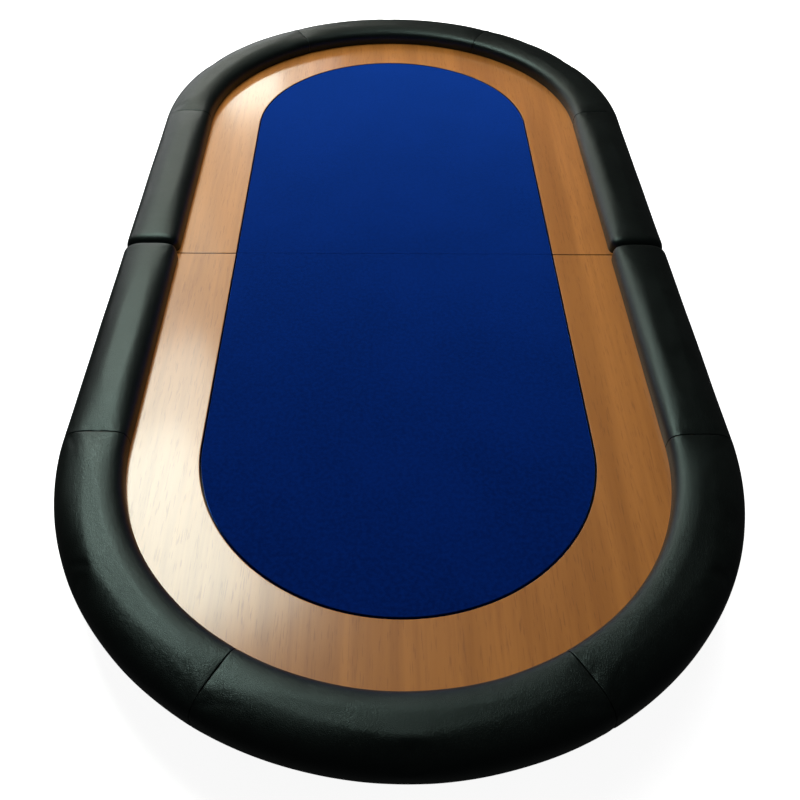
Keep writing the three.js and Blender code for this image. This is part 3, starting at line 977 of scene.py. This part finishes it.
# %% Hinge measures
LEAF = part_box("hinge_middle_near_leaf")
LEAF_LENGTH = LEAF[1].x - LEAF[0].x
LEAF_REACH = -LEAF[0].y
LEAF_TOP = LEAF[1].z
LEAF_THICKNESS = 1.8 * MM
LEAF_BOTTOM = LEAF_TOP - LEAF_THICKNESS
AXIS_HEIGHT = 4.1 * MM
KNUCKLE_RADIUS = LEAF[1].y
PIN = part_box("hinge_middle_pin")
PIN_RADIUS = 1.6 * MM
PIN_HEAD_RADIUS = (PIN[1].y - PIN[0].y) / 2
KNUCKLES = 5
KNUCKLE_GAP = 0.3 * MM
SCREW_ACROSS = 20 * MM
HINGE_SCREW_SPREAD = 40 * MM
LEAF_CORNER = 4 * MM
LEAF_ARRIS = 0.3 * MM
PIN_CLEARANCE = 0.12 * MM
SCREW_CLEARANCE = 0.3 * MM
PIN_HEAD_LENGTH = 1.2 * MM
print("knuckle", round(KNUCKLE_RADIUS, 5), "leaf", round(LEAF_LENGTH, 4), round(LEAF_REACH, 4))

# %% [markdown]
# ## One hinge
# A stamped leaf's tongues are rolled round the pin. Here short tabs reach from the plate to the pin's
# line and a barrel is joined to each. The holes are cut last, so that they go through everything.

# %% Make one hinge


def block(x0, x1, y0, y1, z0, z1):
    bpy.ops.mesh.primitive_cube_add(size=1, location=((x0 + x1) / 2, (y0 + y1) / 2, (z0 + z1) / 2))
    piece = bpy.context.object
    piece.scale = (x1 - x0, y1 - y0, z1 - z0)
    return freeze(piece)


def barrel(x, radius, length, vertices=32):
    sideways = (0, math.radians(90), 0)
    bpy.ops.mesh.primitive_cylinder_add(vertices=vertices, radius=radius, depth=length, rotation=sideways)
    piece = bpy.context.object
    piece.location = (x, 0, AXIS_HEIGHT)
    return freeze(piece)


def screw_spots(side):
    return [(x, side * SCREW_ACROSS) for x in (-HINGE_SCREW_SPREAD / 2, HINGE_SCREW_SPREAD / 2)]


def hinge_leaf(side, first_knuckle):
    """One leaf of the middle hinge; side is -1 for near and 1 for far."""
    clear = side * (KNUCKLE_RADIUS + 1 * MM)
    edge = side * LEAF_REACH
    half = LEAF_LENGTH / 2
    leaf = block(-half, half, min(clear, edge), max(clear, edge), LEAF_BOTTOM, LEAF_TOP)
    corner = lambda a, b: abs(a.z - b.z) > LEAF_THICKNESS / 2 and abs(a.y - edge) < 1e-5
    pick(leaf, corner, "edges")
    round_off(leaf, "EDGE", LEAF_CORNER, 6)
    pick(leaf, faces_down)
    round_off(leaf, "FACE", LEAF_ARRIS, 2)
    pitch = LEAF_LENGTH / KNUCKLES
    for number in range(first_knuckle, KNUCKLES, 2):
        centre = -half + (number + 0.5) * pitch
        reach = (pitch - KNUCKLE_GAP) / 2
        inner = clear + side * 2 * MM
        tab_top = LEAF_TOP - 0.005 * MM
        tab = block(centre - reach, centre + reach, min(0, inner), max(0, inner), LEAF_BOTTOM, tab_top)
        cut_by(leaf, tab, "UNION")
        cut_by(leaf, barrel(centre, KNUCKLE_RADIUS, 2 * reach), "UNION")
    cut_by(leaf, barrel(0, PIN_RADIUS + PIN_CLEARANCE, 2 * LEAF_LENGTH, 24))
    wide = SUNK_HEAD_RADIUS + SCREW_CLEARANCE
    narrow = SCREW_RADIUS + SCREW_CLEARANCE
    deep = LEAF_THICKNESS * 1.02
    for x, y in screw_spots(side):
        place = (x, y, (LEAF_BOTTOM + LEAF_TOP) / 2)
        bpy.ops.mesh.primitive_cone_add(vertices=32, radius1=wide, radius2=narrow, depth=deep, location=place)
        cut_by(leaf, freeze(bpy.context.object))
    return leaf


def hinge_pin():
    end = max(PIN[1].x, -PIN[0].x)
    pin = barrel(0, PIN_RADIUS, 2 * (end - PIN_HEAD_LENGTH / 3))
    for side in (-1, 1):
        head = barrel(side * (end - PIN_HEAD_LENGTH / 2), PIN_HEAD_RADIUS, PIN_HEAD_LENGTH)
        pick(head, lambda f: f.normal.x * side > 0.9)
        round_off(head, "FACE", 0.5 * MM, 3)
        cut_by(pin, head, "UNION")
    return pin


near_leaf = hinge_leaf(-1, 0)
far_leaf = hinge_leaf(1, 1)
pin = hinge_pin()
SCREW_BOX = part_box("hinge_middle_near_screw_left")
sunk = sunk_screw(LEAF_BOTTOM + 0.15 * MM, LEAF_TOP, SCREW_BOX[1].z)
print("leaves", len(near_leaf.data.polygons), len(far_leaf.data.polygons), "pin", len(pin.data.polygons))

# %% [markdown]
# ## Three hinges
# The same hinge is used three times across the fold. Every leaf, pin and screw is its own piece, and
# rides with the half of the top that it is fixed to.

# %% Copy the hinges


def place_steel(pattern, name, half, node, matrix):
    steel = settle(copied(pattern, "steel", matrix), name)
    fit(steel, STEEL, "hinge_steel", half, node)


for where in ("left", "middle", "right"):
    near_node = f"hinge_{where}_near_leaf"
    along = Matrix.Translation(((low(near_node).x + high(near_node).x) / 2, 0, 0))
    place_steel(near_leaf, f"{where}_near_plate", "near", near_node, along)
    place_steel(far_leaf, f"{where}_far_plate", "far", f"hinge_{where}_far_leaf", along)
    place_steel(pin, f"{where}_rivet", "near", f"hinge_{where}_pin", along)
    for half, side in (("near", -1), ("far", 1)):
        for hand, (x, y) in zip(("left", "right"), screw_spots(side)):
            node = f"hinge_{where}_{half}_screw_{hand}"
            turned = Matrix.Translation((x, y, 0)) @ Matrix.Rotation(x * 90 + side, 4, "Z")
            place_steel(sunk, f"{where}_{half}_{hand}_sunk", half, node, along @ turned)
for pattern in (near_leaf, far_leaf, pin, sunk):
    bpy.data.objects.remove(pattern)
print("three hinges")

# %% [markdown]
# ## Staples and rail screws
# The vinyl is turned under the base board and stapled there, and screws through the board hold the
# rail's timber. A staple's crown is a small rounded bar. Each ring of staples is one piece.

# %% Staple the vinyl and screw the rail on
STAPLE_LENGTH = 10 * MM
STAPLE_WIDTH = 1.2 * MM
STAPLE_THICKNESS = 0.55 * MM
STAPLE_PITCH = 27 * MM
STAPLE_RADIUS = TURN_UNDER_EDGE + 9 * MM
RAIL_SCREWS = 10


def round_half(radius, count, margin):
    """Even places round a half oval: (x, y, turn) from the right fold end to the left one."""
    straight = SPINE - margin
    total = 2 * straight + math.pi * radius
    places = []
    for i in range(count):
        far = total * i / (count - 1)
        turn = min(max(far - straight, 0) / radius, math.pi)
        back = min(far, straight) - max(0, far - straight - math.pi * radius)
        y = -margin - back - radius * math.sin(turn)
        places.append((radius * math.cos(turn), y, -turn - math.pi / 2))
    return places


def staple_crown():
    half_length = STAPLE_LENGTH / 2
    half_width = STAPLE_WIDTH / 2
    crown = block(-half_length, half_length, -half_width, half_width, -STAPLE_THICKNESS, 0)
    pick(crown, lambda a, b: True, "edges")
    round_off(crown, "EDGE", 0.22 * MM, 1)
    return crown


def ring_of(pattern, places, height, wobble, name):
    """Copies of a pattern at places round a half, as one piece."""
    copies = []
    for number, (x, y, turn) in enumerate(places):
        slant = wobble * noise.noise(Vector((number * 3.7, 1.3, 0)))
        matrix = Matrix.Translation((x, y, height)) @ Matrix.Rotation(turn + slant, 4, "Z")
        copies.append(copied(pattern, "copy", matrix))
    return settle(joined(copies, name), name)


crown = staple_crown()
staple_count = round((2 * SPINE + math.pi * STAPLE_RADIUS) / STAPLE_PITCH)
staple_places = round_half(STAPLE_RADIUS, staple_count, 18 * MM)
screw_places = round_half(TURN_UNDER_EDGE - 12 * MM, RAIL_SCREWS, 130 * MM)
near_staples = ring_of(crown, staple_places, COVER_BOTTOM - 0.05 * MM, 0.25, "near_staples")
near_screws = ring_of(pan, screw_places, BASE_BOTTOM - 0.02 * MM, 9.0, "near_rail_screws")
for near in (near_staples, near_screws):
    far = copied(near, near.name.replace("near", "far"), HALF_TURN)
    for half, piece in (("near", near), ("far", far)):
        fit(piece, STEEL, "hinge_steel", half)
for pattern in (crown, pan):
    bpy.data.objects.remove(pattern)
print(staple_count, "staples and", RAIL_SCREWS, "rail screws a half")

# %% [markdown]
# ## Pieces kept from the frame
# The timber core, the play board and its pad are hidden inside, and show only at the fold when the top
# is opened or folded. The frame's own shapes do for them, in plywood and foam.

# %% Finish the hidden boards
for half in ("near", "far"):
    for part, material, slot in (
        ("rail_core", PLYWOOD, "plywood"),
        ("play_board", PLYWOOD, "plywood"),
        ("play_pad", FOAM, "foam"),
    ):
        kept = bpy.data.objects[f"{half}_{part}"]
        dress(kept, material)
print("kept the core, board and pad of each half")

# %% [markdown]
# ## Floor and world
# The studio is white and almost without shadow. The floor lies below the feet, because the folded half
# hangs that far down, and it glows a little, so that it stays white without lighting the table. The
# world is white to the camera only: a bright sky would lift the vinyl's blacks.

# %% Floor and world
FLOOR_HEIGHT = -55 * MM
WORLD_STRENGTH = 0.03


def floor_finish():
    floor = Finish("studio_floor", Specular_IOR_Level=0.1, Emission_Strength=0.93)
    patches = floor.noise(1.3, detail=2)
    colour = floor.blend(patches, (0.86, 0.86, 0.86), (0.90, 0.90, 0.90))
    glow = floor.blend(patches, (0.985, 0.985, 0.985), (1.0, 1.0, 1.0))
    return floor.paint(Base_Color=colour, Roughness=0.9 + 0.05 * patches, Emission_Color=glow)


bpy.ops.mesh.primitive_plane_add(size=60, location=(0, 0, FLOOR_HEIGHT))
floor = bpy.context.object
floor.name = "studio_floor"
dress(floor, floor_finish())
floor.visible_glossy = False
floor.visible_diffuse = False
floor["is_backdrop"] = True

world = bpy.data.worlds.new("studio")
bpy.context.scene.world = world
world.use_nodes = True
sky = world.node_tree.nodes["Background"]
seen = world.node_tree.nodes.new("ShaderNodeLightPath")
strength = world.node_tree.nodes.new("ShaderNodeMapRange")
strength.inputs["To Min"].default_value = WORLD_STRENGTH
strength.inputs["To Max"].default_value = 1.0
sky.inputs["Color"].default_value = (1, 1, 1, 1)
world.node_tree.links.new(seen.outputs["Is Camera Ray"], strength.inputs["Value"])
world.node_tree.links.new(strength.outputs["Result"], sky.inputs["Strength"])
print("floor at", FLOOR_HEIGHT)

# %% [markdown]
# ## Lights
# Two big lamps light the cloth and the wood and are left out of reflections. The others stand on the
# left and are mirrored: a window with a warm surround makes the glare on the near racetrack, a small
# one far off does the same on the far bend, and three dim walls draw the soft highlight on the vinyl.

# %% Lights
WHITE = (1, 1, 1)
WARM = (0.86, 0.97, 0.88)
WARMER = (1.0, 0.86, 0.62)
NEAR_LEFT = (-0.25, -0.1, 0.03)
FAR_LEFT = (-0.2, 0.4, 0.03)


def soft_light(name, place, target, size, power, colour=WHITE, glossy=True):
    """A rectangular lamp at a place, turned to a target; its size is in metres and its power in watts."""
    bpy.ops.object.light_add(type="AREA", location=place)
    lamp = bpy.context.object
    lamp.name = name
    lamp.data.shape = "RECTANGLE"
    lamp.data.size, lamp.data.size_y = size
    lamp.data.energy = power
    lamp.data.color = colour
    aim = Vector(target) - Vector(place)
    lamp.rotation_euler = aim.to_track_quat("-Z", "Y").to_euler()
    lamp.visible_glossy = glossy


soft_light("window_middle", (-0.95, 1.0, 2.2), NEAR_LEFT, (0.6, 0.8), 10, WARM)
soft_light("window", (-0.95, 1.15, 2.2), NEAR_LEFT, (0.9, 1.3), 21, WARM)
soft_light("window_surround", (-1.0, 1.5, 2.2), NEAR_LEFT, (1.1, 2.2), 9, WARMER)
soft_light("far_window", (-0.91, 4.85, 2.2), FAR_LEFT, (0.4, 0.3), 3.0, WARM)
soft_light("far_window_surround", (-0.95, 4.2, 2.2), FAR_LEFT, (1.1, 1.8), 7, WARMER)
soft_light("overhead", (0.1, 2.2, 2.5), (0, 0.2, 0), (3, 3), 62, glossy=False)
soft_light("behind", (0.1, 4.2, 1.7), (0, 0.4, 0), (3, 1.5), 168, glossy=False)
soft_light("backdrop", (-1.8, 3.5, 0.5), (-0.2, 0.3, 0.03), (2.8, 0.6), 14)
soft_light("wall_left", (-1.6, 2.8, 2.2), (-0.3, 0.2, 0.03), (0.8, 2.8), 5.5)
soft_light("far_corner", (-1.3, 5.9, 2.2), (-0.3, 0.6, 0.03), (1.9, 1.1), 9)
print(len(bpy.data.lights), "lights")

# %% [markdown]
# ## The finished box
# The finished pieces should fill the frame's box and no more. Both boxes are printed, so that they can be set
# side by side.

# %% Print the finished box
final_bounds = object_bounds()
boxes = {"model": cad_bounds, "finished": final_bounds}
{key: [list(corner) for corner in corners] for key, corners in boxes.items()}
print("finished box", [tuple(round(c, 4) for c in corner) for corner in final_bounds])
